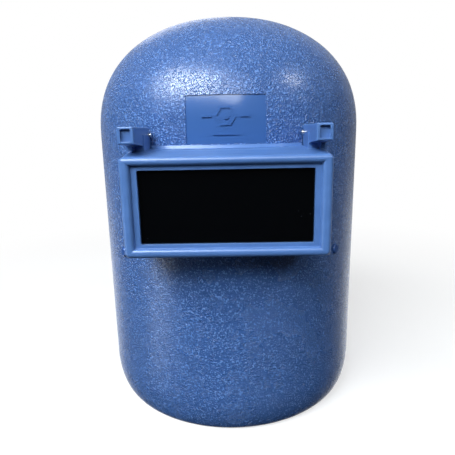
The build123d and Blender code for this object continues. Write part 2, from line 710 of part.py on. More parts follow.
def make_ratchet_cover():
    """Outer half, with the bearing for the knob's shaft."""
    y = ratchet_centre()
    part = ratchet_shell(y, y + COVER_T) - spring_pocket(9.2, 1.7, 0.8)
    part -= strap_channel()
    part -= rod_y(PINION_R + 1.4, y - 2.0, y + 2.0, 0, PIVOT_Z)
    part -= rod_y(2.05, y - 2, y + 6, 0, PIVOT_Z)
    for s in (1, -1):
        part -= rod_y(1.5, y - 2, y + 6, s * SCREW_X, PIVOT_Z)
        part -= rod_y(2.7, y + 3.0, y + 6, s * SCREW_X, PIVOT_Z)
    return part


def make_cover_screw(s):
    x, y = s * SCREW_X, ratchet_centre()
    screw = rod_y(1.2, y - 5.5, y + 3.4, x, PIVOT_Z) + rod_y(2.5, y + 3.0, y + 4.2, x, PIVOT_Z)
    slot = block((x - 2, x + 2), (y + 3.7, y + 5), (PIVOT_Z - 0.3, PIVOT_Z + 0.3))
    return pitched(screw - slot)


def make_ratchet_knob():
    """Large scalloped knob on the shaft's outer end."""
    y = ratchet_centre()
    depth = KNOB_REAR_Y - y - 4.5
    knob = lobed_knob(19.0, 12, 0, depth)
    knob = Pos(0, y + 4.5, PIVOT_Z) * Rot(0, 0, 90) * knob
    return knob - rod_y(2.0, y, y + 12.0, 0, PIVOT_Z)


def make_detent_spring():
    """Leaf in the cover's outer face that clicks on the knob."""
    return spring_pocket(9.0, 1.5, 0.7)


def spring_pocket(half_x, half_z, depth):
    """A flat pocket above the shaft, sunk in the cover's outer face."""
    face = ratchet_centre() + COVER_T
    return block((-half_x, half_x), (face - depth, face), (PIVOT_Z + 11 - half_z, PIVOT_Z + 11 + half_z))


def make_nape_pad():
    """Soft pad in front of the housing."""
    face = Pos(0, PIVOT_Z) * RectangleRounded(84, 42, 16)
    bow = rod_z(NAPE_R - 0.2, 0, 400) - rod_z(NAPE_R - 8.2, -1, 401)
    return prism_y(face, NAPE_R - 25, NAPE_R) & bow


# ---- all nodes ----
def lens_nodes():
    return {
        "cover_lens": lens(5.0, 6.5),
        "lens_gasket": lens_ring(6.5, 7.3),
        "filter_lens": lens(7.3, 10.5),
        "lens_retainer": lens_ring(10.5, 12.0),
        "retaining_springs": both(make_leaf_spring),
        "safety_lens": lens(29.5, 31.0),
        "safety_lens_gasket": lens_ring(31.0, 32.0),
        "safety_lens_retainer": lens_ring(32.0, 34.0),
    }


def shell_nodes():
    nodes = {
        "shell": make_shell(),
        "window_frame": make_window_frame(),
        "inner_frame": make_inner_frame(),
        "frame_rivets": both(make_rivet),
        "rivet_washers": both(make_rivet_washer),
        "knob_washers": both(make_knob_washer),
        "lens_lid": make_lid(),
        "hinge_pins": both(make_hinge_pin),
    }
    for side, s in (("left", 1), ("right", -1)):
        nodes["tilt_stop_" + side] = make_stop_plate(s)
        nodes["tension_knob_" + side] = make_tension_knob(s)
        nodes["knob_nut_" + side] = make_knob_nut(s)
    return nodes


def headgear_nodes():
    nodes = {
        "head_band": make_head_band(),
        "sweatband": make_sweatband(),
        "crown_peg": make_crown_peg(),
        "pivot_bolts": both(make_pivot_bolt),
        "friction_washers": both(make_friction_washer),
        "strap_studs": both(make_strap_stud),
        "crown_rivets": both(make_crown_rivet),
        "arm_rivets": Compound(children=[make_arm_rivet(s, t) for s in (1, -1) for t in (1, -1)]),
    }
    straps = make_crown_straps()
    for side, s in (("left", 1), ("right", -1)):
        nodes["side_arm_" + side] = make_side_arm(s)
        nodes["crown_strap_" + side] = straps[side]
        nodes["rack_strap_" + side] = pitched(rack_strap(s))
    return nodes


def ratchet_nodes():
    return {
        "ratchet_housing": pitched(make_ratchet_housing()),
        "ratchet_cover": pitched(make_ratchet_cover()),
        "cover_screws": both(make_cover_screw),
        "ratchet_knob": pitched(make_ratchet_knob()),
        "ratchet_pinion": make_pinion(),
        "detent_spring": pitched(make_detent_spring()),
        "nape_pad": pitched(make_nape_pad()),
    }


def main():
    os.makedirs("parts", exist_ok=True)
    nodes = {**shell_nodes(), **lens_nodes(), **headgear_nodes(), **ratchet_nodes()}
    for name, part in nodes.items():
        export_step(part, f"parts/{name}.step")
    return nodes


main()
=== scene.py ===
import json
import math

import bpy
import numpy as np
from mathutils import Euler, Matrix, Vector


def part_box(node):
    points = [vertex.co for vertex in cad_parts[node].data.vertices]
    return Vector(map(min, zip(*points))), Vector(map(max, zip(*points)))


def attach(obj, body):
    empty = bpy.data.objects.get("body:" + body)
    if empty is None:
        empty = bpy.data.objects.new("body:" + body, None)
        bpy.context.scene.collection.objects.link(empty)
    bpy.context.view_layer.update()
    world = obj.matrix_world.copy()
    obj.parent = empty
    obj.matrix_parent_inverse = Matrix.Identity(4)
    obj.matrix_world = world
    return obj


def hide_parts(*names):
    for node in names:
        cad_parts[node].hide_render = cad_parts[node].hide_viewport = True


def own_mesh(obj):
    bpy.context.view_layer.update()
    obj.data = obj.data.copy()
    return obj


# Lift-front welding helmet: the looks. Metres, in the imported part's frame; the helmet faces -Y.
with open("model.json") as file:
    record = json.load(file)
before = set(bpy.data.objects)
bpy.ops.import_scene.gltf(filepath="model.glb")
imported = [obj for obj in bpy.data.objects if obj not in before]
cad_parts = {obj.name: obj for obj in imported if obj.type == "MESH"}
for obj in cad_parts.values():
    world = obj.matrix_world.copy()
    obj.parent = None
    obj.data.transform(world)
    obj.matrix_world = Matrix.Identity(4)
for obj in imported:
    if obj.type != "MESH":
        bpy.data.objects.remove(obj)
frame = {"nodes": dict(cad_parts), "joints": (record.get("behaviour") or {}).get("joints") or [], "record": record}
NODES = frame["nodes"]
JOINTS = {joint["name"]: joint for joint in frame["joints"]}
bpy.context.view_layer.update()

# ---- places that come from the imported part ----
LENS_LO, LENS_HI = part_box("cover_lens")
LENS_Z = (LENS_LO.z + LENS_HI.z) / 2
PIVOT = Vector(JOINTS["helmet_tilt"]["pos_m"])
SLIDE = Vector(JOINTS["band_size"]["axis"])

# ---- sizes repeated from the part's source ----
SHELL_R, SHELL_H = 0.104, 0.2972
SPRING_Z = 0.2116  # where the shell's straight wall turns into the dome
DOME_POWER = 2.265  # of the dome's superellipse
CHIN_TUCK, CHIN_RISE = 0.0103, 0.030  # how far the wall draws in at the bottom, and from what height
PANEL_HALF_X = 0.0245
PANEL_Z = (LENS_Z + 0.035, LENS_Z + 0.064)
HEAD_PITCH = math.radians(-12.0)
BAND_HALF_X, BAND_FRONT_Y, BAND_SIDE_Y = 0.078, -0.070, -0.005
NAPE_R = 0.1095

# ---- colours ----
BLUE = (0.038, 0.106, 0.305)
BLUE_LIGHT = (0.085, 0.195, 0.47)
# painted shade: the rivet heads' darker blue stands in for the shade they sit in
RIVET_SHADE_BLUE = (0.022, 0.070, 0.25)
# painted light: the lid's blue is the shell's blue made paler, standing in for the light the lid catches
BLUE_LID_PAINTED_LIGHT = (0.062, 0.146, 0.370)
CREST_HIGHLIGHT = (0.112, 0.240, 0.570)  # the tops of the shell's grain: painted highlight where they catch the light, partly rubbed wear
VALLEY = (0.035, 0.097, 0.288)  # the rest of the grain
GLASS_BLACK = (0.0010, 0.0013, 0.0018)
GLASS_DUST = (0.16, 0.17, 0.19)
FILTER_GREEN, FILTER_HAZE = (0.002, 0.004, 0.003), (0.008, 0.014, 0.010)
RUBBER_BLACK, RUBBER_BLOOM = (0.012, 0.012, 0.013), (0.05, 0.05, 0.052)
LAMP_COOL, LAMP_NEUTRAL = (0.92, 0.98, 1.0), (0.95, 0.98, 1.0)


def pitched(point):
    """A point of the level headgear, tipped about the pivots as the part is."""
    return PIVOT + Euler((HEAD_PITCH, 0, 0)).to_matrix() @ (Vector(point) - PIVOT)


# ---- material graph helper ----
class Finish:
    """A Principled material, with short calls for the procedural nodes that feed it."""

    def __init__(self, name, color, rough, **sockets):
        self.material = bpy.data.materials.new(name)
        self.material.use_nodes = True
        self.tree = self.material.node_tree
        self.bsdf = self.tree.nodes["Principled BSDF"]
        self.bsdf.inputs["Base Color"].default_value = (*color, 1.0)
        self.bsdf.inputs["Roughness"].default_value = rough
        for key, value in sockets.items():
            self.bsdf.inputs[key.replace("_", " ")].default_value = value
        self.at = self.add("ShaderNodeTexCoord").outputs["Object"]

    def add(self, kind, **settings):
        node = self.tree.nodes.new(kind)
        for key, value in settings.items():
            setattr(node, key, value)
        return node

    def plug(self, socket, value):
        if isinstance(value, bpy.types.NodeSocket):
            self.tree.links.new(value, socket)
        else:
            socket.default_value = value

    def math(self, operation, a, b=0.0, c=0.0, clamp=False):
        node = self.add("ShaderNodeMath", operation=operation, use_clamp=clamp)
        for socket, value in zip(node.inputs, (a, b, c)):
            self.plug(socket, value)
        return node.outputs[0]

    def scaled(self, value, share, plus=0.0):
        """value * share + plus"""
        return self.math("MULTIPLY_ADD", value, share, plus)

    def vector(self, operation, a, b=(0.0, 0.0, 0.0)):
        node = self.add("ShaderNodeVectorMath", operation=operation)
        self.plug(node.inputs[0], a)
        self.plug(node.inputs[1], b)
        return node.outputs["Value" if operation == "LENGTH" else "Vector"]

    def split(self, vector):
        node = self.add("ShaderNodeSeparateXYZ")
        self.plug(node.inputs[0], vector)
        return node.outputs[0], node.outputs[1], node.outputs[2]

    def join(self, x, y, z):
        node = self.add("ShaderNodeCombineXYZ")
        for socket, value in zip(node.inputs, (x, y, z)):
            self.plug(socket, value)
        return node.outputs[0]

    def noise(self, scale, detail=2.0, rough=0.5, at=None, out=0):
        node = self.add("ShaderNodeTexNoise")
        self.plug(node.inputs["Vector"], at or self.at)
        node.inputs["Scale"].default_value = scale
        node.inputs["Detail"].default_value = detail
        node.inputs["Roughness"].default_value = rough
        return node.outputs[out]

    def cells(self, scale, at=None):
        """Distance to the nearest of the points scattered in the cells."""
        node = self.add("ShaderNodeTexVoronoi")
        self.plug(node.inputs["Vector"], at or self.at)
        node.inputs["Scale"].default_value = scale
        return node.outputs["Distance"]

    def ramp(self, value, low, high, start=0.0, end=1.0):
        """Smooth step from start at low to end at high."""
        node = self.add("ShaderNodeMapRange", interpolation_type="SMOOTHSTEP")
        self.plug(node.inputs["Value"], value)
        for key, number in (("From Min", low), ("From Max", high), ("To Min", start), ("To Max", end)):
            node.inputs[key].default_value = number
        return node.outputs[0]

    def stretch(self, x, y, z):
        node = self.add("ShaderNodeMapping")
        self.plug(node.inputs["Vector"], self.at)
        node.inputs["Scale"].default_value = (x, y, z)
        return node.outputs[0]

    def warp(self, amount, scale):
        """Coordinates pushed about by noise."""
        shift = self.vector("SUBTRACT", self.noise(scale, out="Color"), (0.5, 0.5, 0.5))
        node = self.add("ShaderNodeVectorMath", operation="SCALE")
        self.plug(node.inputs[0], shift)
        node.inputs["Scale"].default_value = amount
        return self.vector("ADD", self.at, node.outputs[0])

    def blend(self, share, a, b):
        """Colour a where the share is 0, b where it is 1."""
        node = self.add("ShaderNodeMix", data_type="RGBA")
        self.plug(node.inputs["Factor"], share)
        self.plug(node.inputs[6], (*a, 1.0) if isinstance(a, tuple) else a)
        self.plug(node.inputs[7], (*b, 1.0) if isinstance(b, tuple) else b)
        return node.outputs[2]

    def soft_edges(self, radius):
        node = self.add("ShaderNodeBevel", samples=6)
        node.inputs["Radius"].default_value = radius
        return node.outputs[0]

    def bump(self, height, distance, strength=1.0, normal=None):
        node = self.add("ShaderNodeBump")
        node.inputs["Distance"].default_value = distance
        self.plug(node.inputs["Strength"], strength)
        self.plug(node.inputs["Height"], height)
        if normal is not None:
            self.plug(node.inputs["Normal"], normal)
        return node.outputs[0]

    def finish(self, color=None, rough=None, normal=None):
        for key, socket in (("Base Color", color), ("Roughness", rough), ("Normal", normal)):
            if socket is not None:
                self.plug(self.bsdf.inputs[key], socket)
        return self.material


# ---- finishes ----
def shell_outside(f):
    """1 on the shell's outer skin, 0 on its inner skin and rim."""
    x, y, z = f.split(f.at)
    across = f.vector("LENGTH", f.join(x, f.math("MINIMUM", y, 0.0), 0.0))
    low = f.math("DIVIDE", f.math("SUBTRACT", CHIN_RISE, z, clamp=True), CHIN_RISE)
    round_in = f.math("SQRT", f.math("SUBTRACT", 1.0, f.math("MULTIPLY", low, low), clamp=True))
    radius = f.scaled(round_in, CHIN_TUCK, SHELL_R - CHIN_TUCK)
    rise = f.math("DIVIDE", f.math("SUBTRACT", z, SPRING_Z, clamp=True), SHELL_H - SPRING_Z)
    dome = f.math("POWER", rise, DOME_POWER)
    wall = f.math("POWER", f.math("DIVIDE", across, radius), DOME_POWER)
    inner_skin, outer_skin = 0.958, 0.985
    return f.ramp(f.math("ADD", wall, dome), inner_skin, outer_skin)


def within(f, offset, half):
    """1 where the offset is less than the half width either way, with a fine edge."""
    return f.ramp(f.math("ABSOLUTE", offset), half - 0.0002, half + 0.0003, 1.0, 0.0)


def smooth_panel(f):
    """1 on the un-grained panel above the window."""
    x, y, z = f.split(f.at)
    middle = (PANEL_Z[0] + PANEL_Z[1]) / 2
    across = within(f, x, PANEL_HALF_X)
    upright = within(f, f.math("SUBTRACT", z, middle), (PANEL_Z[1] - PANEL_Z[0]) / 2)
    front = f.ramp(y, -0.06, -0.05, 1.0, 0.0)
    return f.math("MULTIPLY", f.math("MULTIPLY", across, upright), front)


def shell_plastic():
    """Blue plastic with a worm-like pebble grain; here and there its tops carry a painted highlight, partly rubbed
    wear.
    """
    f = Finish("shell_plastic", BLUE, 0.4, IOR=1.6)
    outside, panel = shell_outside(f), smooth_panel(f)
    grained = f.math("MULTIPLY", outside, f.math("SUBTRACT", 1.0, panel))
    grain = f.noise(950.0, 0.5, at=f.warp(0.0004, 700.0))
    crests = f.ramp(grain, 0.42, 0.60)
    # painted highlight: paler colour on some of the grain's crests stands in for glints, partly rubbed wear
    rubbed = f.math("MULTIPLY", f.ramp(grain, 0.53, 0.60), f.ramp(f.noise(620.0, 1.0), 0.42, 0.56))
    normal = f.bump(f.scaled(f.noise(2600.0, 2.0), 0.08, crests), 0.00040, grained)
    cloudy = f.scaled(f.ramp(f.noise(14.0, 2.0), 0.3, 0.7), 0.12)
    color = f.blend(cloudy, f.blend(grained, BLUE, f.blend(rubbed, VALLEY, CREST_HIGHLIGHT)), BLUE)
    polish = f.math("MULTIPLY", outside, f.scaled(panel, 0.10, 0.12))
    rough = f.scaled(f.noise(45.0, 4.0), 0.10, f.math("SUBTRACT", 0.34, polish))
    return f.finish(color, rough, normal)


def lid_plastic():
    """The shell's blue made paler as painted light for the light the lid catches; smooth and satin, with flow
    marks and fine scratches.
    """
    f = Finish("lid_plastic", BLUE_LID_PAINTED_LIGHT, 0.3, IOR=1.55)
    flow = f.noise(60.0, 3.0, at=f.stretch(1.0, 1.0, 3.0))
    scratches = f.ramp(f.noise(900.0, 2.0, at=f.stretch(0.06, 1.0, 1.0)), 0.62, 0.75)
    height = f.scaled(scratches, -0.3, f.scaled(f.noise(2200.0, 2.0), 0.25, flow))
    normal = f.bump(height, 0.00006, 0.6, f.soft_edges(0.0004))
    color = f.blend(f.scaled(f.ramp(flow, 0.35, 0.7), 0.3), BLUE_LID_PAINTED_LIGHT, BLUE_LIGHT)
    rough = f.scaled(flow, 0.16, f.scaled(scratches, 0.12, 0.24))
    return f.finish(color, rough, normal)


def rivet_plastic():
    """Smooth heads with small marks, coloured darker than the shell as painted shade."""
    f = Finish("rivet_plastic", RIVET_SHADE_BLUE, 0.28, IOR=1.5)
    marks = f.noise(500.0, 3.0)
    color = f.blend(f.scaled(marks, 0.5), RIVET_SHADE_BLUE, BLUE)
    return f.finish(color, f.scaled(marks, 0.2, 0.2), f.bump(marks, 0.00004, 0.5))


def moulded(name, color, paler, rough, grain=1500.0, depth=0.00006):
    """Moulded plastic: fine spark-eroded grain, uneven gloss and paler rubbed places."""
    f = Finish(name, color, rough, IOR=1.48)
    texture = f.noise(grain, 3.0, 0.6)
    patches = f.noise(70.0, 4.0)
    normal = f.bump(texture, depth, 0.8, f.soft_edges(0.0003))
    rubbed = f.scaled(f.ramp(patches, 0.45, 0.75), 0.5)
    gloss = f.scaled(patches, 0.2, f.scaled(texture, 0.1, rough - 0.15))
    return f.finish(f.blend(rubbed, color, paler), gloss, normal)


def rubber():
    """Matt black rubber with a grey bloom."""
    f = Finish("rubber", RUBBER_BLACK, 0.75, IOR=1.5)
    bloom = f.ramp(f.noise(120.0, 4.0), 0.4, 0.75)
    color = f.blend(f.scaled(bloom, 0.4), RUBBER_BLACK, RUBBER_BLOOM)
    return f.finish(color, f.scaled(bloom, -0.15, 0.8), f.bump(f.noise(900.0, 3.0), 0.00008, 0.6))


def turned_metal(name, color, rough, along):
    """Metal with fine tool marks that run round the given axis, and dull stains."""
    f = Finish(name, color, rough, Metallic=1.0)
    stretch = [60.0, 60.0, 60.0]
    stretch["XYZ".index(along)] = 4000.0
    marks = f.noise(1.0, 3.0, 0.6, at=f.stretch(*stretch))
    stain = f.ramp(f.noise(260.0, 4.0), 0.4, 0.8)
    dull = tuple(c * 0.45 for c in color)
    gloss = f.scaled(marks, 0.18, f.scaled(stain, 0.18, rough - 0.12))
    normal = f.bump(marks, 0.00003, 0.5, f.soft_edges(0.0002))
    return f.finish(f.blend(f.scaled(stain, 0.45), color, dull), gloss, normal)


def dark_glass():
    """Cover plate over the filter: near black and glossy, with dust and wiping marks."""
    f = Finish("dark_glass", GLASS_BLACK, 0.06, IOR=1.49)
    specks = f.ramp(f.cells(420.0), 0.0, 0.10, 1.0, 0.0)
    sparse = f.math("MULTIPLY", specks, f.ramp(f.noise(160.0, 2.0), 0.60, 0.66))
    wiped = f.ramp(f.noise(40.0, 4.0, at=f.stretch(0.5, 1.0, 1.6)), 0.45, 0.8)
    color = f.blend(f.scaled(sparse, 0.5), GLASS_BLACK, GLASS_DUST)
    rough = f.scaled(sparse, 0.4, f.scaled(wiped, 0.08, 0.05))
    return f.finish(color, rough, f.bump(wiped, 0.00002, 0.2))


def filter_glass():
    """The dark green-black filter behind the cover plate."""
    f = Finish("filter_glass", FILTER_GREEN, 0.05, IOR=1.52)
    haze = f.noise(70.0, 3.0)
    return f.finish(f.blend(f.scaled(haze, 0.3), FILTER_GREEN, FILTER_HAZE), f.scaled(haze, 0.08, 0.02))


def clear_glass():
    """Clear safety plate with faint smears."""
    f = Finish("clear_glass", (0.93, 0.96, 0.95), 0.02, IOR=1.49, Transmission_Weight=1.0)
    smears = f.ramp(f.noise(50.0, 4.0), 0.5, 0.8)
    return f.finish(rough=f.scaled(smears, 0.06, 0.015))


def pad_cloth():
    """Terry cloth over foam: tight loops, uneven wear and a soft sheen."""
    f = Finish("sweatband", (0.045, 0.047, 0.055), 0.9, Sheen_Weight=0.35, Sheen_Roughness=0.5)
    loops = f.cells(1150.0, at=f.warp(0.0006, 500.0))
    fuzz = f.noise(3200.0, 3.0, 0.6)
    height = f.scaled(fuzz, 0.35, f.math("SUBTRACT", 1.0, loops))
    worn = f.ramp(f.noise(48.0, 4.0), 0.4, 0.75)
    tint = f.blend(f.scaled(worn, 0.5), (0.040, 0.042, 0.050), (0.085, 0.085, 0.088))
    # painted shade: the cloth turns near black in the gaps between the loops
    color = f.blend(f.ramp(loops, 0.2, 0.75, 0.0, 0.65), tint, (0.012, 0.012, 0.015))
    return f.finish(color, f.scaled(fuzz, 0.1, 0.85), f.bump(height, 0.00035, 0.9))


def binding_cloth():
    """Woven tape along the pads' edges, and the thread."""
    f = Finish("binding", (0.02, 0.021, 0.024), 0.8, Sheen_Weight=0.2, Sheen_Roughness=0.4)
    ribs = f.noise(1.0, 1.0, at=f.stretch(2600.0, 2600.0, 700.0))
    # the weave's ribs, partly painted shade: darker in the grooves between the ribs
    color = f.blend(ribs, (0.012, 0.012, 0.014), (0.05, 0.052, 0.058))
    return f.finish(color, f.scaled(ribs, 0.15, 0.7), f.bump(ribs, 0.0002, 0.8))


FINISHES = {
    "shell_plastic": shell_plastic(),
    "lid_plastic": lid_plastic(),
    "rivet_plastic": rivet_plastic(),
    "black_plastic": moulded("black_plastic", (0.014, 0.014, 0.016), (0.045, 0.045, 0.05), 0.5),
    "band_plastic": moulded("band_plastic", (0.022, 0.023, 0.026), (0.05, 0.052, 0.056), 0.45, 700.0, 0.0001),
    "white_plastic": moulded("white_plastic", (0.72, 0.71, 0.66), (0.55, 0.53, 0.47), 0.4),
    "rubber": rubber(),
    "pin_steel": turned_metal("pin_steel", (0.62, 0.61, 0.59), 0.3, "X"),
    "brass": turned_metal("brass", (0.72, 0.52, 0.22), 0.32, "X"),
    "dark_glass": dark_glass(),
    "filter_glass": filter_glass(),
    "clear_glass": clear_glass(),
    "sweatband": pad_cloth(),
}
BINDING = binding_cloth()


def dress(obj, material):
    if not obj.material_slots:
        obj.data.materials.append(material)
    for place in obj.material_slots:
        place.material = material


def dress_cad_nodes():
    for row in frame["record"]["subparts"]:
        dress(NODES[row["node"]], FINISHES[row["material_slot"]])


# ---- mesh helpers ----
def mesh_object(name, points, faces, material, smooth=True):
    mesh = bpy.data.meshes.new(name)
    mesh.from_pydata([tuple(p) for p in points], [], faces)
    mesh.update()
    obj = bpy.data.objects.new(name, mesh)
    bpy.context.scene.collection.objects.link(obj)
    obj.data.materials.append(material)
    for polygon in mesh.polygons:
        polygon.use_smooth = smooth
    return obj


def ring_faces(rings, around, start=0):
    """Quads between rings of points that follow each other in the point list."""
    faces = []
    for i in range(rings - 1):
        for k in range(around):
            n = (k + 1) % around
            base = start + i * around
            faces.append((base + k, base + n, base + around + n, base + around + k))
    return faces


def mesh_points(mesh):
    co = np.empty(len(mesh.vertices) * 3)
    mesh.vertices.foreach_get("co", co)
    return co.reshape(-1, 3)


def subdivide(obj):
    smooth = obj.modifiers.new("smooth", "SUBSURF")
    smooth.levels = smooth.render_levels = 1
    mesh = bpy.data.meshes.new_from_object(obj.evaluated_get(bpy.context.evaluated_depsgraph_get()))
    obj.modifiers.remove(smooth)
    obj.data = mesh


# ---- pads ----
def brow_path(t, grow):
    """Point and outward direction on the front half of the head oval, t from 0 to 1."""
    a = math.radians(-173.0 + 166.0 * t)
    rx, ry = BAND_HALF_X + grow, BAND_SIDE_Y - BAND_FRONT_Y + grow
    point = Vector((rx * math.cos(a), BAND_SIDE_Y + ry * math.sin(a), PIVOT.z))
    return point, Vector((math.cos(a) / rx, math.sin(a) / ry, 0)).normalized()


def nape_path(t, grow):
    """The same on the arc in front of the ratchet housing."""
    a = math.pi / 2 + 0.395 - 0.79 * t
    out = Vector((math.cos(a), math.sin(a), 0))
    return out * (NAPE_R + grow) + Vector((0, 0, PIVOT.z)), out


def pad_point(path, t, angle, half_h, half_t, squareness, middle, channels):
    """A point on the pad's skin; its section is a rounded oblong that closes at both ends."""
    centre, out = path(t, middle)
    ends = (1 - abs(2 * t - 1) ** squareness) ** (1 / squareness)
    c, s = math.cos(angle), math.sin(angle)
    across = math.copysign(abs(c) ** 0.75, c) * half_t * min(1.0, ends * 1.4)
    up = math.copysign(abs(s) ** 0.45, s) * half_h * ends
    if channels:
        across *= 1 - 0.10 * math.exp(-((math.fmod(t * channels, 1.0) - 0.5) / 0.06) ** 2)
    return pitched(centre + out * across + Vector((0, 0, up)))


def make_pad(name, path, half_h, half_t, squareness, middle, along, around, channels=0):
    """Closed quad mesh, with a point at each end and its rings a little closer together there."""
    steps = [0.5 - 0.5 * math.cos(math.pi * (i + 1) / (along + 1)) for i in range(along)]
    steps = [0.35 * t + 0.65 * (i + 1) / (along + 1) for i, t in enumerate(steps)]
    points = [
        pad_point(path, t, 2 * math.pi * k / around, half_h, half_t, squareness, middle, channels)
        for t in steps for k in range(around)
    ]
    faces = ring_faces(along, around)
    for t, row in ((0.0, 0), (1.0, along - 1)):
        points.append(pitched(path(t, middle)[0]))
        tip = len(points) - 1
        for k in range(around):
            n = (k + 1) % around
            pair = (row * around + k, row * around + n)
            faces.append((tip, *reversed(pair)) if row == 0 else (tip, *pair))
    return mesh_object(name, points, faces, FINISHES["sweatband"])


def puff(obj, cap):
    """Blows the pad up as cloth under pressure, and limits how far any point may move."""
    rest = mesh_points(obj.data)
    first, last = 1, 20
    cloth = obj.modifiers.new("puff", "CLOTH")
    cloth.settings.quality = 6
    cloth.settings.mass = 0.15
    cloth.settings.tension_stiffness = 25
    cloth.settings.compression_stiffness = 25
    cloth.settings.bending_stiffness = 1.5
    cloth.settings.use_pressure = True
    cloth.settings.uniform_pressure_force = 4.0
    cloth.settings.effector_weights.gravity = 0
    cloth.collision_settings.use_collision = False
    cloth.point_cache.frame_start, cloth.point_cache.frame_end = first, last
    for number in range(first, last + 1):
        bpy.context.scene.frame_set(number)
    blown = mesh_points(obj.evaluated_get(bpy.context.evaluated_depsgraph_get()).to_mesh())
    obj.modifiers.remove(cloth)
    bpy.context.scene.frame_set(first)
    move = blown - rest
    far = np.linalg.norm(move, axis=1, keepdims=True)
    move *= np.minimum(1.0, cap / np.maximum(far, 1e-9))
    obj.data.vertices.foreach_set("co", (rest + move).ravel())
    obj.data.update()


def capsule(points, faces, a, b, side, lift, radius):
    """One stitch from a to b: a short thread that dips into the cloth at both ends."""
    start, rings, around = len(points), 5, 6
    for i in range(rings):
        t = i / (rings - 1)
        girth = radius * (0.35 + 0.65 * math.sin(math.pi * t) ** 0.5 if 0 < t < 1 else 0.3)
        centre = a.lerp(b, t) + lift * (radius * (1.6 * math.sin(math.pi * t) - 0.5))
        for k in range(around):
            turn = 2 * math.pi * k / around
            points.append(centre + (side * math.cos(turn) + lift.normalized() * math.sin(turn)) * girth)
    faces.extend(ring_faces(rings, around, start))
    faces.append(tuple(start + k for k in reversed(range(around))))
    faces.append(tuple(start + (rings - 1) * around + k for k in range(around)))


def on_skin(pad, point, direction):
    """Where a ray along the direction first meets the pad, with the normal, or the point itself."""
    found, place, normal, _ = pad.ray_cast(point - direction * 0.03, direction)
    return (place, normal) if found else (point, -direction)


def stitch_rows(name, pad, path, heights, spans, count):
    """Rows of stitches laid on the pad's face that looks to the head."""
    points, faces = [], []
    for height in heights:
        line = []
        for i in range(count + 1):
            t = spans[0] + (spans[1] - spans[0]) * i / count
            centre, out = path(t, 0.0)
            outward = (pitched(centre + out) - pitched(centre)).normalized()
            line.append(on_skin(pad, pitched(centre + Vector((0, 0, height))), outward))
        for (a, normal), (b, _) in zip(line[::2], line[1::2]):
            along = b - a
            side = along.cross(normal).normalized()
            capsule(points, faces, a, a + along * 0.9, side, normal, radius=0.00030)
    return mesh_object(name, points, faces, BINDING)


def piping(name, path, height, offset, spans, radius):
    """Bound edge: a thin round tape along the pad's upper or lower edge."""
    points, count, around = [], 64, 10
    for i in range(count + 1):
        t = spans[0] + (spans[1] - spans[0]) * i / count
        centre, out = path(t, offset)
        taper = min(1.0, 0.25 + 6 * min(i, count - i) / count)
        for k in range(around):
            turn = 2 * math.pi * k / around
            step = out * math.cos(turn) + Vector((0, 0, math.sin(turn)))
            points.append(pitched(centre + Vector((0, 0, height)) + step * radius * taper))
    faces = ring_faces(count + 1, around)
    faces.append(tuple(range(around)))
    faces.append(tuple(reversed(range(count * around, (count + 1) * around))))
    return mesh_object(name, points, faces, BINDING)


def make_sweatband():
    pad = make_pad("sweatband_pad", brow_path, half_h=0.0146, half_t=0.0022, squareness=9, middle=-0.0034,
                   along=90, around=26, channels=7)
    puff(pad, cap=0.0009)
    subdivide(pad)
    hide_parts("sweatband")
    seam_z, edge_z = 0.0095, 0.0140
    seams = stitch_rows("sweatband_stitching", pad, brow_path, (seam_z, -seam_z),
                        spans=(0.03, 0.97), count=168)
    edges = [
        piping("sweatband_binding_" + side, brow_path, height,
               offset=-0.0033, spans=(0.02, 0.98), radius=0.0011)
        for side, height in (("top", edge_z), ("bottom", -edge_z))
    ]
    for piece in (pad, seams, *edges):
        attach(piece, "headgear")


def make_nape_pad():
    pad = make_pad("nape_cushion", nape_path, half_h=0.0200, half_t=0.0030, squareness=4, middle=-0.0042,
                   along=44, around=30)
    puff(pad, cap=0.0012)
    subdivide(pad)
    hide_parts("nape_pad")
    seam_z = 0.0125
    seams = stitch_rows("nape_stitching", pad, nape_path, (seam_z, -seam_z), spans=(0.16, 0.84), count=60)
    for piece in (pad, seams):
        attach(piece, "ratchet_unit")


def make_rear_straps():
    """Copies of the rack straps in the band plastic, set on the headgear in place of the rack straps."""
    for side in ("left", "right"):
        node = NODES["rack_strap_" + side]
        strap = bpy.data.objects.new("rear_strap_" + side, node.data.copy())
        bpy.context.scene.collection.objects.link(strap)
        dress(strap, FINISHES["band_plastic"])
        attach(strap, "headgear")
        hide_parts(node.name)
        ends = mesh_points(strap.data) @ np.array(-SLIDE)
        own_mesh(strap)


# ---- room, light and camera ----
FLOOR_HALF = 6.0
FLOOR_FADE = (0.10, 0.75)  # distance from the middle over which the floor turns white
LIT_SHARE = 0.5  # of the floor's paleness near the helmet, the share that the lights give

# Room brightness by direction: from, to, and the values there.
ROOM_BEHIND = (0.40, 0.85, 0.0, 1.0)
ROOM_LOW = (-0.35, 0.0, 1.7, 0.45)
ROOM_ABOVE = (-0.1, 0.8, 0.01, 0.20)

HELMET_MIDDLE = (0, -0.04, 0.17)
CHEST_MIDDLE = (0.01, -0.1, 0.07)

SENSOR_MM, LENS_MM = 36.0, 32.31
CAMERA_AT = (0.005442, -0.357178, 0.207519)
CAMERA_YAW, CAMERA_PITCH, CAMERA_ROLL = 0.022, -0.214, 0.020


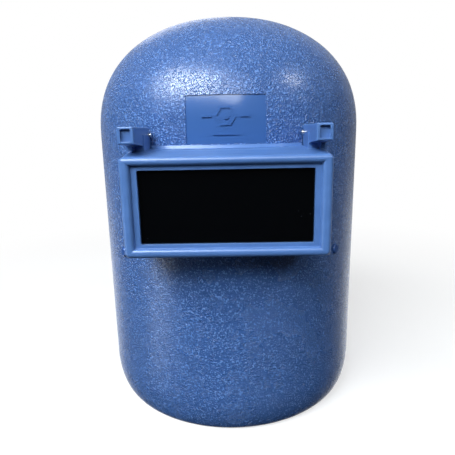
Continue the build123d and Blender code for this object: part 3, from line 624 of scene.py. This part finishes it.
def make_floor():
    """Pale floor in one sheet, which brightens into the white room away from the helmet."""
    f = Finish("floor", (0.5, 0.5, 0.5), 0.9, Emission_Color=(1, 1, 1, 1), Specular_IOR_Level=0.0)
    away = f.ramp(f.vector("LENGTH", f.at), *FLOOR_FADE)
    pale = f.blend(f.noise(3.0, 3.0), (0.48, 0.48, 0.48), (0.52, 0.52, 0.52))
    material = f.finish(f.blend(away, pale, (0.0, 0.0, 0.0)))
    f.plug(f.bsdf.inputs["Emission Strength"], f.scaled(away, LIT_SHARE, 1.0 - LIT_SHARE))
    h = FLOOR_HALF
    floor = mesh_object("floor", [(-h, -h, 0), (h, -h, 0), (h, h, 0), (-h, h, 0)], [(0, 1, 2, 3)], material,
                        smooth=False)
    floor.visible_diffuse = False
    floor.visible_glossy = False
    floor.visible_shadow = False


def softbox(name, azimuth, elevation, distance, size, watts, color, target=HELMET_MIDDLE):
    """Area light round the target: azimuth 0 is in front, 90 on the +X side."""
    a, e = math.radians(azimuth), math.radians(elevation)
    away = Vector((math.sin(a) * math.cos(e), -math.cos(a) * math.cos(e), math.sin(e)))
    lamp = bpy.data.lights.new(name, "AREA")
    lamp.shape = "RECTANGLE"
    lamp.size, lamp.size_y = size
    lamp.energy = watts
    lamp.color = color
    obj = bpy.data.objects.new(name, lamp)
    obj.location = Vector(target) + away * distance
    obj.rotation_euler = (-away).to_track_quat("-Z", "Y").to_euler()
    bpy.context.scene.collection.objects.link(obj)
    return obj


def make_lights():
    """A window up on the left with its wide glow, and fill; two lamps show only in reflections."""
    softbox("window", -38, 43, 1.3, (0.90, 0.50), 23.0, LAMP_COOL)
    halo = softbox("halo", -28, 42, 1.3, (1.8, 0.6), 22.0, LAMP_COOL)
    behind = softbox("behind", -168, 30, 1.4, (0.5, 0.25), 0.8, (1, 1, 1))
    for lamp in (halo, behind):
        lamp.visible_diffuse = False
    fill = softbox("fill", -8, 31, 1.5, (1.7, 0.4), 7.0, (0.98, 0.98, 1.0))
    lower = softbox("lower", -4, 38, 1.2, (0.5, 0.3), 0.17, (1.0, 0.98, 1.0), CHEST_MIDDLE)
    lower.data.spread = math.radians(30)
    for lamp in (fill, lower):
        lamp.visible_glossy = False
    softbox("overhead", 0, 82, 1.1, (0.9, 0.6), 0.5, LAMP_NEUTRAL)
    softbox("wall_left", -66, -22, 1.2, (0.45, 0.50), 2.2, (0.92, 0.97, 1.0))
    softbox("wall_right", 62, -8, 1.2, (0.9, 0.7), 0.25, (0.9, 0.95, 1.0))
    softbox("lamp_right", 66, 40, 1.2, (0.24, 0.18), 3.0, LAMP_NEUTRAL)


def make_world():
    """Dark in front and below, pale behind the helmet, white where the camera sees past the floor."""
    world = bpy.data.worlds.new("room")
    world.use_nodes = True
    bpy.context.scene.world = world
    tree = world.node_tree
    tree.nodes.clear()
    at = tree.nodes.new("ShaderNodeTexCoord")
    split = tree.nodes.new("ShaderNodeSeparateXYZ")
    tree.links.new(at.outputs["Generated"], split.inputs[0])
    total = tree.nodes.new("ShaderNodeMath")
    total.operation = "MULTIPLY_ADD"
    fades = (("Y", ROOM_BEHIND), ("Z", ROOM_LOW), ("Z", ROOM_ABOVE))
    for socket, (axis, limits) in zip(total.inputs, fades):
        fade = tree.nodes.new("ShaderNodeMapRange")
        fade.interpolation_type = "SMOOTHSTEP"
        tree.links.new(split.outputs[axis], fade.inputs["Value"])
        for key, number in zip(("From Min", "From Max", "To Min", "To Max"), limits):
            fade.inputs[key].default_value = number
        tree.links.new(fade.outputs[0], socket)
    room = tree.nodes.new("ShaderNodeBackground")
    room.inputs["Color"].default_value = (0.93, 0.96, 1.0, 1)
    tree.links.new(total.outputs[0], room.inputs["Strength"])
    seen = tree.nodes.new("ShaderNodeBackground")
    seen.inputs["Color"].default_value = (1, 1, 1, 1)
    seen.inputs["Strength"].default_value = 1.0
    path = tree.nodes.new("ShaderNodeLightPath")
    mix = tree.nodes.new("ShaderNodeMixShader")
    tree.links.new(path.outputs["Is Camera Ray"], mix.inputs[0])
    tree.links.new(room.outputs[0], mix.inputs[1])
    tree.links.new(seen.outputs[0], mix.inputs[2])
    out = tree.nodes.new("ShaderNodeOutputWorld")
    tree.links.new(mix.outputs[0], out.inputs["Surface"])


def make_camera():
    """At the photo's viewing angle: a little above, looking down, a hair to the left."""
    lens = bpy.data.cameras.new("camera")
    lens.sensor_width = SENSOR_MM
    lens.lens = LENS_MM
    lens.clip_start = 0.01
    camera = bpy.data.objects.new("camera", lens)
    turn = (Matrix.Rotation(CAMERA_YAW, 3, "Z") @ Matrix.Rotation(CAMERA_PITCH, 3, "X")
            @ Matrix.Rotation(CAMERA_ROLL, 3, "Y"))
    right, ahead, up = turn.col[0], turn.col[1], turn.col[2]
    facing = Matrix((right, up, -ahead)).transposed().to_4x4()
    camera.matrix_world = Matrix.Translation(CAMERA_AT) @ facing
    bpy.context.scene.collection.objects.link(camera)
    bpy.context.scene.camera = camera


make_camera()
make_world()
make_floor()
make_lights()
dress_cad_nodes()
make_sweatband()
make_nape_pad()
make_rear_straps()
bpy.context.scene.view_settings.view_transform = "Standard"
